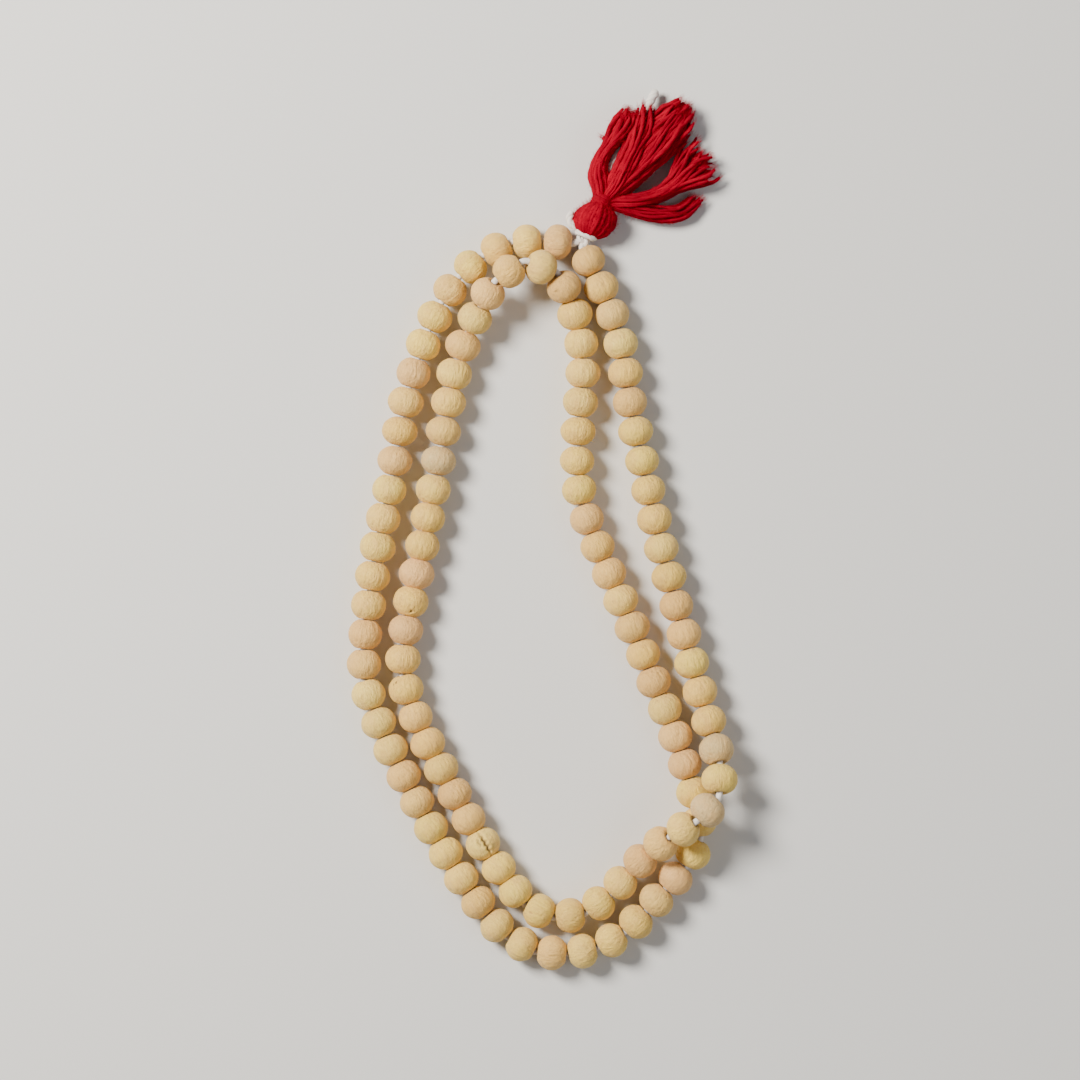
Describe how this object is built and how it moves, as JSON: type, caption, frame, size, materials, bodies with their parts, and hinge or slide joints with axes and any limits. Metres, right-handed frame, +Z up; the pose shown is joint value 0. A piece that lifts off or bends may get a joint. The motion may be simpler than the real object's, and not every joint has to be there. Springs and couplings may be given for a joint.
{
  "type": "mala prayer beads",
  "caption": "Long string of turned wooden prayer beads on a cotton cord, laid doubled and crossing over itself, closed by a red wool tassel.",
  "frame": {"origin": "centre of the bounding box at the table, under the laid string", "axes": "+Z up from the table; +Y from the far end of the doubled loop towards the tassel; +X to the right seen from above"},
  "size_m": [0.089, 0.2014, 0.0164],
  "materials": {
    "wood": "satin, unvarnished turned wood",
    "cotton": "matte twisted cotton cord",
    "wool": "matte fuzzy yarn"
  },
  "bodies": {
    "lower": {"lower_outer_run_1": "wood", "lower_outer_run_3": "wood", "lower_outer_run_5": "wood", "lower_outer_run_7": "wood", "lower_outer_run_9": "wood", "lower_inner_run_1": "wood", "lower_inner_run_3": "wood", "lower_inner_run_5": "wood", "lower_right_run_1": "wood", "lower_right_run_2": "wood", "cord_lower_outer": "cotton", "cord_lower_inner": "cotton"},
    "row_lower": {"fold_lower_cord_outer_left": "cotton", "fold_lower_cord_inner_left": "cotton", "fold_lower_cord_inner_right": "cotton", "fold_lower_cord_outer_right": "cotton"},
    "row_upper": {"fold_upper_cord_outer_left": "cotton", "fold_upper_cord_inner_left": "cotton", "fold_upper_cord_inner_right": "cotton", "fold_upper_cord_outer_right": "cotton"},
    "upper": {"upper_left_run_1": "wood", "upper_left_run_2": "wood", "upper_right_run_1": "wood", "upper_inner_run_1": "wood", "upper_inner_run_6": "wood", "cord_upper_inner": "cotton", "cord_upper_left": "cotton", "cord_upper_right": "cotton"},
    "knot": {"string_knot": "cotton", "side_knot": "cotton"},
    "tassel": {"tassel_head": "wool", "neck_binding": "wool", "foot_wrap": "cotton", "tail_cord": "cotton", "fringe_left": "wool", "fringe_crown": "wool"},
    "fringe_upper": {"fringe_upper": "wool"},
    "fringe_right": {"fringe_right": "wool"},
    "fringe_lower": {"fringe_lower": "wool"},
    "upper_left_bead_3": {"upper_left_bead_3": "wood"},
    "upper_right_bead_2": {"upper_right_bead_2": "wood"},
    "upper_right_bead_3": {"upper_right_bead_3": "wood"},
    "upper_inner_bead_2": {"upper_inner_bead_2": "wood"},
    "upper_inner_bead_3": {"upper_inner_bead_3": "wood"},
    "upper_inner_bead_4": {"upper_inner_bead_4": "wood"},
    "upper_inner_bead_5": {"upper_inner_bead_5": "wood"},
    "lower_outer_bead_2": {"lower_outer_bead_2": "wood"},
    "lower_outer_bead_4": {"lower_outer_bead_4": "wood"},
    "lower_outer_bead_6": {"lower_outer_bead_6": "wood"},
    "lower_outer_bead_8": {"lower_outer_bead_8": "wood"},
    "lower_inner_bead_2": {"lower_inner_bead_2": "wood"},
    "lower_inner_bead_4": {"lower_inner_bead_4": "wood"},
    "fold_upper_bead_outer_left": {"fold_upper_bead_outer_left": "wood"},
    "fold_lower_bead_outer_left": {"fold_lower_bead_outer_left": "wood"},
    "fold_upper_bead_inner_left": {"fold_upper_bead_inner_left": "wood"},
    "fold_lower_bead_inner_left": {"fold_lower_bead_inner_left": "wood"},
    "fold_upper_bead_inner_right": {"fold_upper_bead_inner_right": "wood"},
    "fold_lower_bead_inner_right": {"fold_lower_bead_inner_right": "wood"},
    "fold_upper_bead_outer_right": {"fold_upper_bead_outer_right": "wood"},
    "fold_lower_bead_outer_right": {"fold_lower_bead_outer_right": "wood"}
  },
  "joints": [
    {"name": "fold_lower", "type": "hinge", "parent": "lower", "child": "row_lower", "pos_m": [0, 0.0136, 0.0055], "axis": [1, 0, 0], "range_deg": [0, 50]},
    {"name": "fold_middle", "type": "hinge", "parent": "row_lower", "child": "row_upper", "pos_m": [0, 0.02035, 0.0055], "axis": [1, 0, 0], "range_deg": [0, 50]},
    {"name": "fold_upper", "type": "hinge", "parent": "row_upper", "child": "upper", "pos_m": [0, 0.0271, 0.0055], "axis": [1, 0, 0], "range_deg": [0, 50]},
    {"name": "tassel_swing", "type": "hinge", "parent": "upper", "child": "knot", "pos_m": [0.0098, 0.0675, 0.004], "axis": [0, 0, 1], "range_deg": [-12, 5]},
    {"name": "tassel_lift", "type": "hinge", "parent": "knot", "child": "tassel", "pos_m": [0.0098, 0.0675, 0.004], "axis": [0.9292, -0.3697, 0], "range_deg": [0, 50]},
    {"name": "fringe_upper_fan", "type": "hinge", "parent": "tassel", "child": "fringe_upper", "pos_m": [0.0182, 0.0786, 0.004], "axis": [0, 0, 1], "range_deg": [-6, 2]},
    {"name": "fringe_right_fan", "type": "hinge", "parent": "tassel", "child": "fringe_right", "pos_m": [0.0176, 0.0773, 0.004], "axis": [0, 0, 1], "range_deg": [-6, 6]},
    {"name": "fringe_lower_fan", "type": "hinge", "parent": "tassel", "child": "fringe_lower", "pos_m": [0.0168, 0.0754, 0.004], "axis": [0, 0, 1], "range_deg": [-22, 3]},
    {"name": "upper_left_bead_3_spin", "type": "hinge", "parent": "upper", "child": "upper_left_bead_3", "pos_m": [0.00383, 0.06697, 0.004], "axis": [0.9939, -0.1103, 0], "continuous": true},
    {"name": "upper_right_bead_2_spin", "type": "hinge", "parent": "upper", "child": "upper_right_bead_2", "pos_m": [0.0138, 0.05657, 0.004], "axis": [-0.3959, 0.9183, 0], "continuous": true},
    {"name": "upper_right_bead_3_spin", "type": "hinge", "parent": "upper", "child": "upper_right_bead_3", "pos_m": [0.01087, 0.06267, 0.004], "axis": [-0.4711, 0.8821, 0], "continuous": true},
    {"name": "upper_inner_bead_2_spin", "type": "hinge", "parent": "upper", "child": "upper_inner_bead_2", "pos_m": [0.00527, 0.05649, 0.00695], "axis": [-0.4424, 0.824, 0.354], "continuous": true},
    {"name": "upper_inner_bead_3_spin", "type": "hinge", "parent": "upper", "child": "upper_inner_bead_3", "pos_m": [0.00002, 0.06083, 0.00925], "axis": [-0.9217, 0.3016, 0.2438], "continuous": true},
    {"name": "upper_inner_bead_4_spin", "type": "hinge", "parent": "upper", "child": "upper_inner_bead_4", "pos_m": [-0.00725, 0.05977, 0.00996], "axis": [-0.8276, -0.5566, -0.0724], "continuous": true},
    {"name": "upper_inner_bead_5_spin", "type": "hinge", "parent": "upper", "child": "upper_inner_bead_5", "pos_m": [-0.01207, 0.05482, 0.00838], "axis": [-0.4881, -0.7946, -0.361], "continuous": true},
    {"name": "lower_outer_bead_2_spin", "type": "hinge", "parent": "lower", "child": "lower_outer_bead_2", "pos_m": [-0.03941, -0.03643, 0.004], "axis": [0.2693, -0.9631, 0], "continuous": true},
    {"name": "lower_outer_bead_4_spin", "type": "hinge", "parent": "lower", "child": "lower_outer_bead_4", "pos_m": [-0.01439, -0.08397, 0.004], "axis": [0.5933, -0.805, 0], "continuous": true},
    {"name": "lower_outer_bead_6_spin", "type": "hinge", "parent": "lower", "child": "lower_outer_bead_6", "pos_m": [0.03075, -0.07845, 0.004], "axis": [0.6675, 0.7446, 0], "continuous": true},
    {"name": "lower_outer_bead_8_spin", "type": "hinge", "parent": "lower", "child": "lower_outer_bead_8", "pos_m": [0.02331, -0.02728, 0.004], "axis": [-0.3571, 0.9341, 0], "continuous": true},
    {"name": "lower_inner_bead_2_spin", "type": "hinge", "parent": "lower", "child": "lower_inner_bead_2", "pos_m": [-0.02864, -0.04155, 0.004], "axis": [0.3826, -0.9239, 0], "continuous": true},
    {"name": "lower_inner_bead_4_spin", "type": "hinge", "parent": "lower", "child": "lower_inner_bead_4", "pos_m": [-0.00585, -0.0814, 0.004], "axis": [0.5855, -0.8106, 0], "continuous": true},
    {"name": "fold_upper_bead_outer_left_spin", "type": "hinge", "parent": "row_upper", "child": "fold_upper_bead_outer_left", "pos_m": [-0.03227, 0.02372, 0.004], "axis": [-0.168, -0.9858, 0], "continuous": true},
    {"name": "fold_lower_bead_outer_left_spin", "type": "hinge", "parent": "row_lower", "child": "fold_lower_bead_outer_left", "pos_m": [-0.03343, 0.01698, 0.004], "axis": [-0.168, -0.9858, 0], "continuous": true},
    {"name": "fold_upper_bead_inner_left_spin", "type": "hinge", "parent": "row_upper", "child": "fold_upper_bead_inner_left", "pos_m": [-0.02227, 0.02372, 0.004], "axis": [-0.168, -0.9858, 0], "continuous": true},
    {"name": "fold_lower_bead_inner_left_spin", "type": "hinge", "parent": "row_lower", "child": "fold_lower_bead_inner_left", "pos_m": [-0.02343, 0.01698, 0.004], "axis": [-0.168, -0.9858, 0], "continuous": true},
    {"name": "fold_upper_bead_inner_right_spin", "type": "hinge", "parent": "row_upper", "child": "fold_upper_bead_inner_right", "pos_m": [0.00847, 0.02372, 0.004], "axis": [-0.037, -0.9993, 0], "continuous": true},
    {"name": "fold_lower_bead_inner_right_spin", "type": "hinge", "parent": "row_lower", "child": "fold_lower_bead_inner_right", "pos_m": [0.00822, 0.01698, 0.004], "axis": [-0.037, -0.9993, 0], "continuous": true},
    {"name": "fold_upper_bead_outer_right_spin", "type": "hinge", "parent": "row_upper", "child": "fold_upper_bead_outer_right", "pos_m": [0.02162, 0.02372, 0.004], "axis": [0.21, -0.9777, 0], "continuous": true},
    {"name": "fold_lower_bead_outer_right_spin", "type": "hinge", "parent": "row_lower", "child": "fold_lower_bead_outer_right", "pos_m": [0.02307, 0.01698, 0.004], "axis": [0.21, -0.9777, 0], "continuous": true}
  ]
}
